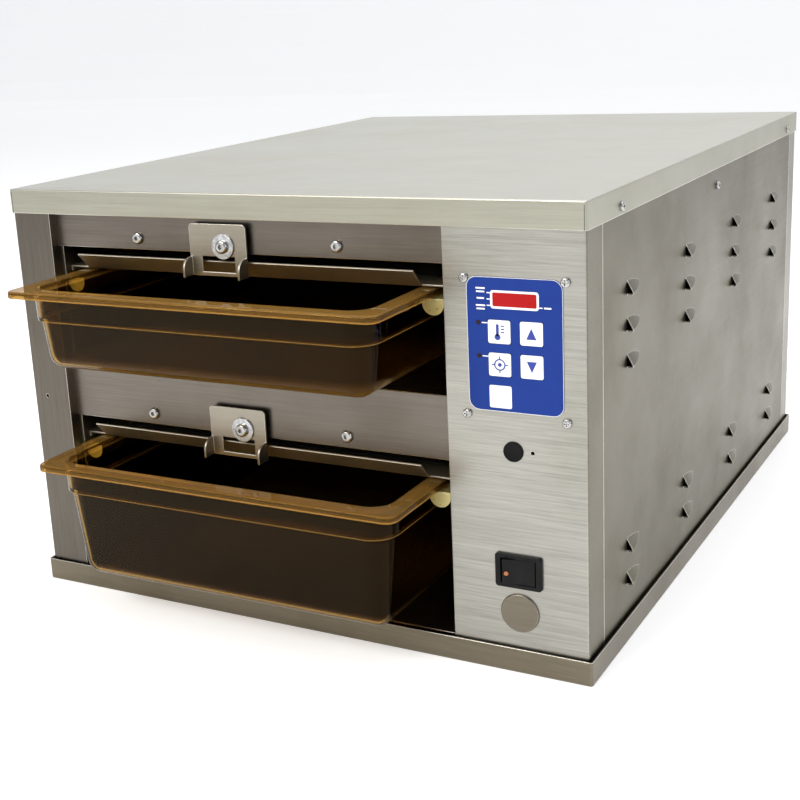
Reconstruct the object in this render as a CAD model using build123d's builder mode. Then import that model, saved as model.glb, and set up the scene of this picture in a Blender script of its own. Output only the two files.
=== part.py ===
"""Two-bay heated holding cabinet with a shallow and a deep food pan.

Millimetres, +Z up, +Y to the back, +X to the right as seen from the front.
The origin is the centre of the base tray's underside.
"""
import os
from math import cos, radians, sin, tan

from build123d import *

os.makedirs("parts", exist_ok=True)

# ---------------------------------------------------------------- overall
sheet = 1.2                      # all folded stainless sheet
cover_width, cover_depth, height = 496.0, 630.0, 344.0
cover_flange = 19.5
tray_width, tray_depth, tray_height = 500.0, 634.0, 18.6
body_x = cover_width / 2 - sheet             # outer face of the side panels
front = -(cover_depth / 2 - sheet)           # outer face of the body's front
back = -front                                # outer face of the back panel
floor_z = sheet                              # top of the tray's floor
body_top = height - sheet - 0.1
wrap = 31.0                      # control panel's return onto the right side
rear_wrap = 25.0                 # back panel's return onto each side
front_tongue = (-14.0, 2.0)      # right side panel's tongue, from the wrap's edge
seam = 0.4                       # gap between neighbouring casing sheets
fold_r = 1.6                     # outer radius of the casing's folds
tongue_turn = 20.0               # side panel's tongue, turned in behind the back panel
pillar_return, panel_return = 12.0, 7.0      # flanges turned back beside the bays' opening
pillar_hole_x, pillar_hole_z, pillar_hole_r = -232.8, 168.6, 1.5

# ---------------------------------------------------------------- pan bays
bay_x = -33.25                   # centre of both bays
bay_half = 174.75                # bay centre to the inner face of a bay wall
bay_rear = 232.0                 # front face of the bay's rear wall
opening_left = -209.3            # pillar's inner edge
opening_right = 142.8            # control panel's inner edge
strip_y = front + 7.8            # front face of the fascia strips
inner_y = strip_y + sheet        # everything inside starts behind the strips
shelf_pitch = 144.5
wall_top = 340.0                 # bay walls' upper edge
ceiling_z = 339.5                # top of the ceiling channel
upper_rail_z = 271.0             # the surface that the pan rim slides on
lower_rail_z = upper_rail_z - shelf_pitch
middle_deck_z = 200.1
bottom_deck_z = 15.2
strip_bottom = 297.0             # lower edge of the upper fascia strip
strip_screw_rise = 9.0           # strip's lower edge to its two screws
retainer_screw_rise = 6.2        # strip's lower edge to the retainer's screw
strip_screw_x = (-125.8, 55.0)
strip_right = 147.0              # strips' right end, behind the control panel
strip_ledge = 14.0               # ledge turned back from the middle strip's top

# ---------------------------------------------------------------- lid plates
lid_rise = 7.7                   # rail surface to the lid's top face
lid_front = -294.3
lid_end_drop = 4.5
flap_half = 152.4
flap_x = bay_x - 2.5
flap_reach = 12.7                # how far the flap comes forward and up

# ---------------------------------------------------------------- pan rails
rail_inner = 154.6               # bay centre to the rail's inner edge
rail_outer = 171.7               # bay centre to the front tab's outer edge
rail_thick = 1.2
rail_leg = 18.0
rail_rear = 218.0
tab_drop = 12.0
stop_rise = 5.0                  # how far a rail's rear stop stands over the rail

# ---------------------------------------------------------------- pans
pan_width, pan_length = 324.0, 527.0
rim_thick, rim_radius = 5.2, 9.0
rim_lip = 3.0                    # width of the rim's turned-down edge
body_half_width = 151.0          # pan wall under the rim
body_radius, bottom_radius = 20.0, 13.0
pan_wall = 2.8
shoulder_depth, shoulder_step = 25.0, 2.6
upper_pan_depth, lower_pan_depth = 65.0, 100.0
upper_pan_front = -390.5         # rims' front edges, as the pans stand half out
lower_pan_front = -378.0
rim_gap = 0.2

# ---------------------------------------------------------------- retainers
retainer_width, retainer_height, retainer_thick = 51.6, 40.0, 1.5
retainer_y = front + 2.3         # front face of the retainer's plate
retainer_screw_x = (-41.0, -35.5)
retainer_screw_side = 31.0       # plate's left edge to its screw
retainer_screw_drop = 17.0       # plate's top edge to its screw
ear_reach, ear_height, ear_round = 11.5, 14.5, 9.0
slot_side = 10.8                 # plate's side to its window
slot_bottom, slot_top = 3.0, 15.2            # plate's bottom to its window's edges

# ---------------------------------------------------------------- controls
overlay_left, overlay_right = 160.5, 230.3
overlay_bottom, overlay_top = 196.3, 291.0
overlay_corner = 7.5
overlay_x = (overlay_left + overlay_right) / 2
overlay_z = (overlay_bottom + overlay_top) / 2
film = 0.6                       # thickness of the overlay and the keys
key_size, key_gap = 16.5, 0.2
key_x = (184.2, 207.7)
key_z = (253.0, 229.8)
display_x, display_z = 195.8, 275.6
display_width, display_height = 32.0, 9.6
light_x, light_z = 168.9, (258.9, 235.3)
light_r = 1.6
board_screw_x = (158.6, 232.3)
board_screw_z = (289.6, 192.5)
board_front = front + 12.2
port_x, port_z, port_r, port_stem_r = 192.5, 167.7, 7.4, 6.0
pinhole_x, pinhole_z, pinhole_r = 206.7, 168.0, 1.4
switch_x, switch_z = 194.9, 78.25
switch_width, switch_height = 35.6, 25.7
switch_body_x, switch_body_z = 15.0, 11.0    # half sizes of the switch behind the panel
cap_x, cap_z, cap_r, cap_stem_r = 195.0, 46.1, 14.7, 12.5

# ---------------------------------------------------------------- fasteners
shank_r, shank_clear = 1.9, 2.1
fascia_shank_r, retainer_shank_r = 2.4, 2.9
retainer_hole_r = 3.1
cover_screw_y, cover_screw_z = (-247.3, 268.7), 330.5
side_screw_y, side_screw_z = 8.1, 310.2
back_screw_x, back_screw_z = 234.0, (40.0, 172.0, 304.0)

# ---------------------------------------------------------------- louvres
louvre_y = [-231.0 + 148.0 * k for k in range(4)]      # mouth positions
louvre_z = [271.0, 244.2, 217.4, 75.6, 48.8]
louvre_length, louvre_sink = 30.0, 1.2

CORNER_UP = (Align.CENTER, Align.CENTER, Align.MIN)
CORNER_DOWN = (Align.CENTER, Align.CENTER, Align.MAX)


def block(x0, x1, y0, y1, z0, z1, mode=Mode.ADD):
    """A block between two opposite corners, in the part being built."""
    with Locations(((x0 + x1) / 2, (y0 + y1) / 2, (z0 + z1) / 2)):
        Box(x1 - x0, y1 - y0, z1 - z0, mode=mode)


def facing(x, y, z, direction):
    """A plane at a point, facing along a direction, with its x axis level."""
    level = (0, 1, 0) if abs(direction[0]) > 0.5 else (1, 0, 0)
    return Plane(origin=(x, y, z), x_dir=level, z_dir=direction)


def drill(x, y, z, direction, radius, depth=6.0):
    """A round hole centred on a sheet, across its thickness."""
    with Locations(facing(x, y, z, direction)):
        Cylinder(radius, depth, mode=Mode.SUBTRACT)


def window_in(x, z, half_x, half_z):
    """A rectangular opening through the front face."""
    block(x - half_x, x + half_x, front - 2, front + 2, z - half_z, z + half_z,
          mode=Mode.SUBTRACT)


FRONT, BACK, RIGHT = (0, -1, 0), (0, 1, 0), (1, 0, 0)

# ================================================================ fastener patterns
# A button-head screw with a hex socket, a large one for the retainers and a
# small one for the fascia, and a Phillips pan-head screw. Each stands on the
# origin: head up, shank down.


def button_screw(head_r, head_h, shank, length):
    with BuildPart() as screw:
        Cylinder(head_r, head_h, align=CORNER_UP)
        fillet(screw.edges().group_by(Axis.Z)[-1], radius=head_h * 0.62)
        with BuildSketch(Plane.XY.offset(head_h)):
            RegularPolygon(head_r * 0.4, 6)
        extrude(amount=-head_h * 0.6, mode=Mode.SUBTRACT)
        Cylinder(shank, length, align=CORNER_DOWN)
    return screw.part


def pan_screw(head_r, head_h, shank, length):
    with BuildPart() as screw:
        Cylinder(head_r, head_h, align=CORNER_UP)
        fillet(screw.edges().group_by(Axis.Z)[-1], radius=head_h * 0.55)
        with BuildSketch(Plane.XY.offset(head_h)):
            Rectangle(head_r * 1.15, head_r * 0.26)
            Rectangle(head_r * 0.26, head_r * 1.15)
        extrude(amount=-head_h * 0.55, mode=Mode.SUBTRACT)
        Cylinder(shank, length, align=CORNER_DOWN)
    return screw.part


fascia_screw = button_screw(4.75, 2.75, fascia_shank_r, 5.0)
retainer_screw = button_screw(5.25, 3.0, retainer_shank_r, 12.0)
case_screw = pan_screw(3.6, 2.3, shank_r, 6.0)
panel_screw = pan_screw(3.4, 2.2, shank_r, 6.0)

# ================================================================ casing

# Base tray: an upturned rim all round that the body stands inside.
with BuildPart() as base_tray:
    Box(tray_width, tray_depth, tray_height, align=CORNER_UP)
    fillet(base_tray.edges().filter_by(Axis.Z), radius=2.0)
    fillet(base_tray.faces().sort_by(Axis.Z)[0].edges(), radius=1.0)
    with BuildSketch(Plane.XY.offset(sheet)):
        RectangleRounded(tray_width - 2 * sheet, tray_depth - 2 * sheet, 0.9)
    extrude(amount=tray_height, mode=Mode.SUBTRACT)
base_tray.part.label = "base_tray"
export_step(base_tray.part, "parts/base_tray.step")

# Top cover: a shallow lid with a flange on all four sides.
with BuildPart() as top_cover:
    with Locations((0, 0, height)):
        Box(cover_width, cover_depth, cover_flange, align=CORNER_DOWN)
    fillet(top_cover.edges().filter_by(Axis.Z), radius=1.8)
    fillet(top_cover.faces().sort_by(Axis.Z)[-1].edges(), radius=1.2)
    with BuildSketch(Plane.XY.offset(height - sheet)):
        RectangleRounded(cover_width - 2 * sheet, cover_depth - 2 * sheet, 0.7)
    extrude(amount=-cover_flange, mode=Mode.SUBTRACT)
    for hole_y in cover_screw_y:
        for side in (-1, 1):
            drill(side * cover_width / 2, hole_y, cover_screw_z, RIGHT, shank_clear)
top_cover.part.label = "top_cover"
export_step(top_cover.part, "parts/top_cover.step")

side_rear = back - rear_wrap - seam          # where the visible side face ends
side_in = body_x - sheet                     # inner face of a side panel


def side_holes(side):
    """Clearance holes for the cover, side and back screws of one side panel."""
    for hole_y in cover_screw_y:
        drill(side * body_x, hole_y, cover_screw_z, RIGHT, shank_clear)
    drill(side * body_x, side_screw_y, side_screw_z, RIGHT, shank_clear)
    for hole_z in back_screw_z:
        drill(side * back_screw_x, back - sheet, hole_z, BACK, shank_clear)


def rear_joggle(side):
    """The tongue that runs under the back panel's wrap and turns behind it."""
    near, far = sorted((side * side_in, side * (side_in - sheet)))
    block(near, far, side_rear - sheet, back - sheet, floor_z, body_top)
    near, far = sorted((side * side_in, side * (side_in - tongue_turn)))
    block(near, far, back - 2 * sheet, back - sheet, floor_z, body_top)


# Left side panel: front pillar, its return into the opening, side and tongue.
with BuildPart() as left_side_panel:
    block(-body_x, opening_left, front, front + sheet, floor_z, body_top)
    block(-body_x, -side_in, front, side_rear, floor_z, body_top)
    fillet(left_side_panel.edges().filter_by(Axis.Z).group_by(Axis.X)[0]
           .sort_by(Axis.Y)[0], radius=fold_r)
    block(opening_left - sheet, opening_left, front, front + pillar_return, floor_z,
          body_top)
    rear_joggle(-1)
    side_holes(-1)
    drill(pillar_hole_x, front, pillar_hole_z, FRONT, pillar_hole_r)
left_side_panel.part.label = "left_side_panel"
export_step(left_side_panel.part, "parts/left_side_panel.step")


def hood(size, length):
    """A solid hood along +Y, a pointed arch at its mouth on the origin, dying away behind."""
    foot, lean, peak, point = 6.0, 0.5, 7.5, 6.8
    with BuildPart() as form:
        for share, scale in ((0.0, size), (0.55, 0.74 * size), (1.0, 0.12 * size)):
            with BuildSketch(facing(0, share * length, 0, FRONT)) as section:
                with BuildLine():
                    Polyline((-foot * scale, -foot * scale), (point * scale, -foot * scale),
                             (-lean * scale, peak * scale), close=True)
                make_face()
                fillet(section.vertices(), radius=1.2 * scale)
        loft()
    return form.part


louvre_outside = hood(1.0, louvre_length)
louvre_inside = hood(0.84, louvre_length - 1.5)

# Right side panel: flat, with a tongue under each neighbour and hooded louvres
# whose mouths face the front.
with BuildPart() as right_side_panel:
    block(side_in, body_x, front + wrap + seam, side_rear, floor_z, body_top)
    block(side_in - sheet, side_in, front + wrap + front_tongue[0],
          front + wrap + front_tongue[1], floor_z, body_top)
    rear_joggle(1)
    side_holes(1)
    mouths = [(body_x - louvre_sink, mouth, level) for mouth in louvre_y for level in louvre_z]
    with Locations(*mouths):
        add(louvre_outside)
    with Locations(*mouths):
        add(louvre_inside, mode=Mode.SUBTRACT)
    block(side_in - 10, side_in, front + wrap + front_tongue[1] + 1, side_rear - 3, floor_z,
          body_top, mode=Mode.SUBTRACT)
right_side_panel.part.label = "right_side_panel"
export_step(right_side_panel.part, "parts/right_side_panel.step")

# Control panel: the front face, a short return into the opening and the wrap
# onto the right side.
with BuildPart() as control_panel:
    block(opening_right, body_x, front, front + sheet, floor_z, body_top)
    block(side_in, body_x, front, front + wrap, floor_z, body_top)
    fillet(control_panel.edges().filter_by(Axis.Z).group_by(Axis.X)[-1]
           .sort_by(Axis.Y)[0], radius=fold_r)
    block(opening_right, opening_right + sheet, front, front + panel_return, floor_z,
          body_top)
    window_in(display_x, display_z, display_width / 2 + 1.2, display_height / 2 + 1.2)
    for key_cx in key_x:
        for key_cz in key_z:
            window_in(key_cx, key_cz, key_size / 2 + 0.4, key_size / 2 + 0.4)
    for hole_z in light_z:
        drill(light_x, front, hole_z, FRONT, light_r + 0.1)
    for hole_x in board_screw_x:
        for hole_z in board_screw_z:
            drill(hole_x, front, hole_z, FRONT, shank_clear)
    drill(port_x, front, port_z, FRONT, port_stem_r + 0.1)
    drill(pinhole_x, front, pinhole_z, FRONT, pinhole_r)
    window_in(switch_x, switch_z, switch_body_x + 0.2, switch_body_z + 0.2)
    drill(cap_x, front, cap_z, FRONT, cap_stem_r + 0.1)
control_panel.part.label = "control_panel"
export_step(control_panel.part, "parts/control_panel.step")

# Back panel: flat, wrapping onto both sides, with the cord gland's hole.
gland_x, gland_z, gland_r, cord_r = 190.0, 62.0, 11.0, 6.0
with BuildPart() as back_panel:
    block(-body_x, body_x, back - sheet, back, floor_z, body_top)
    block(-body_x, -side_in, back - rear_wrap, back, floor_z, body_top)
    block(side_in, body_x, back - rear_wrap, back, floor_z, body_top)
    fillet(back_panel.edges().filter_by(Axis.Z).group_by(Axis.Y)[-1], radius=fold_r)
    for side in (-1, 1):
        for hole_z in back_screw_z:
            drill(side * back_screw_x, back, hole_z, BACK, shank_clear)
    drill(gland_x, back, gland_z, BACK, gland_r + 0.1)
back_panel.part.label = "back_panel"
export_step(back_panel.part, "parts/back_panel.step")

# ================================================================ bay walls and decks
wall_left = bay_x - bay_half
wall_right = bay_x + bay_half
wall_front = inner_y + 0.2

with BuildPart() as bay_left_wall:
    block(wall_left - sheet, wall_left, front + pillar_return + 0.2, bay_rear, floor_z, wall_top)
bay_left_wall.part.label = "bay_left_wall"
export_step(bay_left_wall.part, "parts/bay_left_wall.step")

probe_y, probe_rise, probe_r = 60.0, 5.0, 3.0
probe_reach = 50.0               # how far a probe stands into its bay
with BuildPart() as bay_right_wall:
    block(wall_right, wall_right + sheet, wall_front, bay_rear, floor_z, wall_top)
    for rail_z in (upper_rail_z, lower_rail_z):
        drill(wall_right, probe_y, rail_z + lid_rise + probe_rise, RIGHT, probe_r + 0.1)
bay_right_wall.part.label = "bay_right_wall"
export_step(bay_right_wall.part, "parts/bay_right_wall.step")

with BuildPart() as bay_rear_wall:
    block(wall_left - sheet, wall_right + sheet, bay_rear, bay_rear + sheet, floor_z, wall_top)
bay_rear_wall.part.label = "bay_rear_wall"
export_step(bay_rear_wall.part, "parts/bay_rear_wall.step")

deck_left, deck_right = wall_left + 0.1, wall_right - 0.1
deck_rear = bay_rear - 0.2


def strip_holes(y, bottom, retainer_x, slack):
    """Holes for a fascia strip's two screws and for its retainer's screw."""
    for hole_x in strip_screw_x:
        drill(hole_x, y, bottom + strip_screw_rise, FRONT, fascia_shank_r + slack)
    drill(retainer_x, y, bottom + retainer_screw_rise, FRONT, retainer_shank_r + slack)


def deck(top_z, strip_z, retainer_x, flange=True):
    """A flat deck whose front flange carries a fascia strip."""
    with BuildPart() as plate:
        block(deck_left, deck_right, wall_front, deck_rear, top_z - sheet, top_z)
        if flange:
            block(deck_left, deck_right, wall_front, wall_front + sheet, strip_z + 2.0, top_z)
            strip_holes(wall_front, strip_z, retainer_x, 0.1)
    return plate


strip_levels = (strip_bottom, strip_bottom - shelf_pitch)
ceiling_channel = deck(ceiling_z, strip_levels[0], retainer_screw_x[0])
ceiling_channel.part.label = "ceiling_channel"
export_step(ceiling_channel.part, "parts/ceiling_channel.step")

middle_deck = deck(middle_deck_z, strip_levels[1], retainer_screw_x[1])
middle_deck.part.label = "middle_deck"
export_step(middle_deck.part, "parts/middle_deck.step")

bottom_deck = deck(bottom_deck_z, 0, 0, flange=False)
bottom_deck.part.label = "bottom_deck"
export_step(bottom_deck.part, "parts/bottom_deck.step")

# ================================================================ fascia strips


def fascia(bottom, top, retainer_x, ledge):
    """A strip across both bays' opening, with a ledge turned back at its top."""
    with BuildPart() as strip:
        block(opening_left + 0.1, strip_right, strip_y, strip_y + sheet, bottom, top)
        if ledge:
            block(deck_left, deck_right, strip_y, strip_y + strip_ledge, top - sheet, top)
            fillet(strip.edges().filter_by(Axis.X).group_by(Axis.Y)[0].sort_by(Axis.Z)[-1],
                   radius=1.0)
        strip_holes(strip_y, bottom, retainer_x, 0.2)
    return strip


upper_fascia = fascia(strip_levels[0], body_top - 0.5, retainer_screw_x[0], False)
upper_fascia.part.label = "upper_fascia"
export_step(upper_fascia.part, "parts/upper_fascia.step")

middle_fascia = fascia(strip_levels[1], middle_deck_z + sheet + 0.1, retainer_screw_x[1], True)
middle_fascia.part.label = "middle_fascia"
export_step(middle_fascia.part, "parts/middle_fascia.step")

# ================================================================ lid plates
# Each lid lies close over its pan's rim. A flap at its front flares forward
# and up at 45 degrees, so that the rim runs in under it.


def lid(top_z):
    bend = sheet * tan(radians(22.5))
    lean = sheet * sin(radians(45))
    with BuildPart() as plate:
        block(deck_left, deck_right, lid_front, deck_rear, top_z - sheet, top_z)
        for end in (deck_left, deck_right - sheet):
            block(end, end + sheet, lid_front, deck_rear, top_z - lid_end_drop, top_z)
        with BuildSketch(Plane.YZ.offset(flap_x - flap_half)):
            with BuildLine():
                Polyline((lid_front, top_z - sheet), (lid_front, top_z),
                         (lid_front - flap_reach, top_z + flap_reach),
                         (lid_front - flap_reach - lean, top_z + flap_reach - lean),
                         (lid_front - bend, top_z - sheet), close=True)
            make_face()
        extrude(amount=2 * flap_half)
    return plate


upper_lid = lid(upper_rail_z + lid_rise)
upper_lid.part.label = "upper_lid"
export_step(upper_lid.part, "parts/upper_lid.step")

lower_lid = lid(lower_rail_z + lid_rise)
lower_lid.part.label = "lower_lid"
export_step(lower_lid.part, "parts/lower_lid.step")

# ================================================================ pan rails
# A runner with a leg down the bay wall, a half-round tab turned down at the
# front and a stop turned up at the back.


def rail(side, top_z):
    def across(near, far):
        return sorted((bay_x + side * near, bay_x + side * far))

    tab_centre = bay_x + side * (rail_inner + rail_outer) / 2
    tab_r = (rail_outer - rail_inner) / 2
    with BuildPart() as runner:
        block(*across(rail_inner, bay_half), wall_front, rail_rear, top_z - rail_thick, top_z)
        block(*across(bay_half - rail_thick, bay_half), wall_front, rail_rear,
              top_z - rail_leg, top_z)
        block(*across(rail_inner, rail_outer), rail_rear - rail_thick, rail_rear,
              top_z - rail_thick, top_z + stop_rise)
        block(*across(rail_inner, rail_outer), wall_front, wall_front + rail_thick,
              top_z - tab_drop + tab_r, top_z)
        with Locations(facing(tab_centre, wall_front + rail_thick / 2,
                              top_z - tab_drop + tab_r, FRONT)):
            Cylinder(tab_r, rail_thick)
        block(*across(rail_inner, rail_outer), wall_front, wall_front + rail_thick,
              top_z, top_z + 2 * tab_r, mode=Mode.SUBTRACT)
    return runner


for side, side_name in ((-1, "left"), (1, "right")):
    for level, level_name in ((upper_rail_z, "upper"), (lower_rail_z, "lower")):
        pan_rail = rail(side, level)
        pan_rail.part.label = f"{level_name}_{side_name}_rail"
        export_step(pan_rail.part, f"parts/{pan_rail.part.label}.step")

# ================================================================ retainers
# A windowed plate that stands off the fascia strip in front of the lid's flap,
# with an ear bent forward at each side.


def retainer(screw_x, top_z):
    left = screw_x - retainer_screw_side
    right = left + retainer_width
    bottom = top_z - retainer_height
    with BuildPart() as plate:
        block(left, right, retainer_y, retainer_y + retainer_thick, bottom, top_z)
        fillet(plate.edges().filter_by(Axis.Y).group_by(Axis.Z)[-1], radius=3.0)
        block(left + slot_side, right - slot_side, retainer_y - 1,
              retainer_y + retainer_thick + 1, bottom + slot_bottom, bottom + slot_top,
              mode=Mode.SUBTRACT)
        ear_depth = ear_reach + retainer_thick
        for edge in (left, right - retainer_thick):
            with BuildSketch(Plane.YZ.offset(edge)) as ear:
                with Locations((retainer_y - ear_reach + ear_depth / 2,
                                bottom + ear_height / 2)):
                    Rectangle(ear_depth, ear_height)
                fillet(ear.vertices().group_by(Axis.Y)[-1].sort_by(Axis.X)[0],
                       radius=ear_round)
            extrude(amount=retainer_thick)
        drill(screw_x, retainer_y, top_z - retainer_screw_drop, FRONT, retainer_hole_r)
    return plate


retainer_screw_z = [level + retainer_screw_rise for level in strip_levels]
retainer_tops = [level + retainer_screw_drop for level in retainer_screw_z]
upper_retainer = retainer(retainer_screw_x[0], retainer_tops[0])
upper_retainer.part.label = "upper_retainer"
export_step(upper_retainer.part, "parts/upper_retainer.step")

lower_retainer = retainer(retainer_screw_x[1], retainer_tops[1])
lower_retainer.part.label = "lower_retainer"
export_step(lower_retainer.part, "parts/lower_retainer.step")

# ================================================================ retainer hardware
washer_thick, washer_r = 1.5, 9.8
spacer_r = 8.0

with BuildPart() as retainer_spacers:
    for screw_x, screw_z in zip(retainer_screw_x, retainer_screw_z):
        with Locations(facing(screw_x, strip_y, screw_z, FRONT)):
            Cylinder(spacer_r, strip_y - retainer_y - retainer_thick, align=CORNER_UP)
        drill(screw_x, strip_y, screw_z, FRONT, retainer_hole_r, 30.0)
retainer_spacers.part.label = "retainer_spacers"
export_step(retainer_spacers.part, "parts/retainer_spacers.step")

with BuildPart() as retainer_washers:
    for screw_x, screw_z in zip(retainer_screw_x, retainer_screw_z):
        with Locations(facing(screw_x, retainer_y, screw_z, FRONT)):
            Cylinder(washer_r, washer_thick, align=CORNER_UP)
        drill(screw_x, retainer_y, screw_z, FRONT, retainer_hole_r)
    fillet(retainer_washers.edges().filter_by(GeomType.CIRCLE).group_by(Axis.Y)[0], radius=0.4)
retainer_washers.part.label = "retainer_washers"
export_step(retainer_washers.part, "parts/retainer_washers.step")

with BuildPart() as retainer_screws:
    for screw_x, screw_z in zip(retainer_screw_x, retainer_screw_z):
        with Locations(facing(screw_x, retainer_y - washer_thick, screw_z, FRONT)):
            add(retainer_screw)
retainer_screws.part.label = "retainer_screws"
export_step(retainer_screws.part, "parts/retainer_screws.step")

# ================================================================ case fasteners
with BuildPart() as fascia_screws:
    for level in strip_levels:
        for screw_x in strip_screw_x:
            with Locations(facing(screw_x, strip_y, level + strip_screw_rise, FRONT)):
                add(fascia_screw)
fascia_screws.part.label = "fascia_screws"
export_step(fascia_screws.part, "parts/fascia_screws.step")

# The cover, side panels and back panel all use the same pan-head screw.
with BuildPart() as case_screws:
    for side in (-1, 1):
        outwards = (side, 0, 0)
        for screw_y in cover_screw_y:
            with Locations(facing(side * cover_width / 2, screw_y, cover_screw_z, outwards)):
                add(case_screw)
        with Locations(facing(side * body_x, side_screw_y, side_screw_z, outwards)):
            add(case_screw)
        for screw_z in back_screw_z:
            with Locations(facing(side * back_screw_x, back, screw_z, BACK)):
                add(case_screw)
case_screws.part.label = "case_screws"
export_step(case_screws.part, "parts/case_screws.step")

with BuildPart() as overlay_screws:
    for screw_x in board_screw_x:
        for screw_z in board_screw_z:
            with Locations(facing(screw_x, front, screw_z, FRONT)):
                add(panel_screw)
overlay_screws.part.label = "overlay_screws"
export_step(overlay_screws.part, "parts/overlay_screws.step")

# ================================================================ pans


def tub(width, length, radius, depth, ledge, bottom_r):
    """A solid of a pan's shape: straight shoulder, step, tapered lower part."""
    shoulder_taper, wall_taper = 1.5, 6.0
    step_in = 2 * (ledge * tan(radians(shoulder_taper)) + shoulder_step)
    with BuildPart() as form:
        with BuildSketch():
            RectangleRounded(width, length, radius)
        extrude(amount=-ledge, taper=shoulder_taper)
        with BuildSketch(Plane.XY.offset(-ledge)):
            RectangleRounded(width - step_in, length - step_in, radius - shoulder_step)
        extrude(amount=ledge - depth, taper=wall_taper)
        fillet(form.faces().sort_by(Axis.Z)[0].edges(), radius=bottom_r)
    return form.part


def food_pan(depth, rim_front, rail_z):
    """A rimmed pan with its rim resting on the rails."""
    rim_over = pan_width / 2 - body_half_width
    width, length = pan_width - 2 * rim_over, pan_length - 2 * rim_over
    outside = tub(width, length, body_radius, depth, shoulder_depth, bottom_radius)
    inside = tub(width - 2 * pan_wall, length - 2 * pan_wall, body_radius - pan_wall,
                 depth - pan_wall, shoulder_depth - shoulder_step, bottom_radius - pan_wall)
    with BuildPart() as form:
        with BuildSketch():
            RectangleRounded(pan_width, pan_length, rim_radius)
        extrude(amount=-rim_thick)
        with BuildSketch(Plane.XY.offset(-rim_lip)):
            RectangleRounded(pan_width - 2 * rim_lip, pan_length - 2 * rim_lip,
                             rim_radius - rim_lip)
        extrude(amount=-rim_thick, mode=Mode.SUBTRACT)
        fillet(form.edges().group_by(Axis.Z)[-1], radius=2.0)
        add(outside)
        add(inside, mode=Mode.SUBTRACT)
    with BuildPart() as placed:
        with Locations((bay_x, rim_front + pan_length / 2, rail_z + rim_gap + rim_thick)):
            add(form.part)
    return placed


upper_pan = food_pan(upper_pan_depth, upper_pan_front, upper_rail_z)
upper_pan.part.label = "upper_pan"
export_step(upper_pan.part, "parts/upper_pan.step")

lower_pan = food_pan(lower_pan_depth, lower_pan_front, lower_rail_z)
lower_pan.part.label = "lower_pan"
export_step(lower_pan.part, "parts/lower_pan.step")

# ================================================================ keypad
film_front = front - film
key_half = key_size / 2

with BuildPart() as keypad_overlay:
    with BuildSketch(facing(overlay_x, front, overlay_z, FRONT)):
        RectangleRounded(overlay_right - overlay_left, overlay_top - overlay_bottom,
                         overlay_corner)
    extrude(amount=film)
    window_in(display_x, display_z, display_width / 2 + 0.1, display_height / 2 + 0.1)
    for key_cx in key_x:
        for key_cz in key_z:
            window_in(key_cx, key_cz, key_half + key_gap, key_half + key_gap)
    for hole_z in light_z:
        drill(light_x, front, hole_z, FRONT, light_r + 0.1)
keypad_overlay.part.label = "keypad_overlay"
export_step(keypad_overlay.part, "parts/keypad_overlay.step")

with BuildPart() as display_window:
    block(display_x - display_width / 2, display_x + display_width / 2, film_front, front,
          display_z - display_height / 2, display_z + display_height / 2)
    block(display_x - display_width / 2 - 1, display_x + display_width / 2 + 1, front,
          front + sheet + 0.2, display_z - display_height / 2 - 1,
          display_z + display_height / 2 + 1)
display_window.part.label = "display_window"
export_step(display_window.part, "parts/display_window.step")

stem_depth, key_travel = 2.2, 0.5
stem_half, key_proud = 5.0, 0.2


def key(cx, cz):
    """A square key with a stem that reaches its switch on the board."""
    with BuildPart() as cap:
        with BuildSketch(facing(cx, front, cz, FRONT)):
            RectangleRounded(key_size, key_size, 1.5)
        extrude(amount=film + key_proud)
        fillet(cap.faces().sort_by(Axis.Y)[0].edges(), radius=0.25)
        block(cx - stem_half, cx + stem_half, front, front + stem_depth,
              cz - stem_half, cz + stem_half)
    return cap


key_names = {(0, 0): "actual_key", (0, 1): "setpoint_key", (1, 0): "up_key", (1, 1): "down_key"}
for (column, row), key_name in key_names.items():
    keypad_key = key(key_x[column], key_z[row])
    keypad_key.part.label = key_name
    export_step(keypad_key.part, f"parts/{key_name}.step")

with BuildPart() as indicator_lights:
    for lamp_z in light_z:
        with Locations(facing(light_x, board_front, lamp_z, FRONT)):
            Cylinder(light_r, board_front - film_front, align=CORNER_UP)
indicator_lights.part.label = "indicator_lights"
export_step(indicator_lights.part, "parts/indicator_lights.step")

# ================================================================ control board
board_thick = 1.6
board_left, board_right = 153.0, 238.0
board_bottom, board_top = 186.0, 295.0
post_r = 3.5
module_x, module_z = 16.5, 5.5               # display module's half sizes
tact_half, tact_tall, tact_r = 3.1, 4.0, 1.7
chip_tall, pin_tall = 3.0, 9.0

with BuildPart() as board_standoffs:
    for post_x in board_screw_x:
        for post_z in board_screw_z:
            with Locations(facing(post_x, board_front, post_z, FRONT)):
                Cylinder(post_r, board_front - front - sheet, align=CORNER_UP)
            drill(post_x, front, post_z, FRONT, shank_r + 0.05, 18.0)
board_standoffs.part.label = "board_standoffs"
export_step(board_standoffs.part, "parts/board_standoffs.step")

with BuildPart() as display_module:
    block(display_x - module_x, display_x + module_x, front + sheet + 0.3, board_front,
          display_z - module_z, display_z + module_z)
display_module.part.label = "display_module"
export_step(display_module.part, "parts/display_module.step")

switch_front = front + stem_depth + key_travel + 0.1
with BuildPart() as key_switches:
    for key_cx in key_x:
        for key_cz in key_z:
            block(key_cx - tact_half, key_cx + tact_half, board_front - tact_tall, board_front,
                  key_cz - tact_half, key_cz + tact_half)
            with Locations(facing(key_cx, board_front - tact_tall, key_cz, FRONT)):
                Cylinder(tact_r, board_front - tact_tall - switch_front, align=CORNER_UP)
key_switches.part.label = "key_switches"
export_step(key_switches.part, "parts/key_switches.step")

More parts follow.
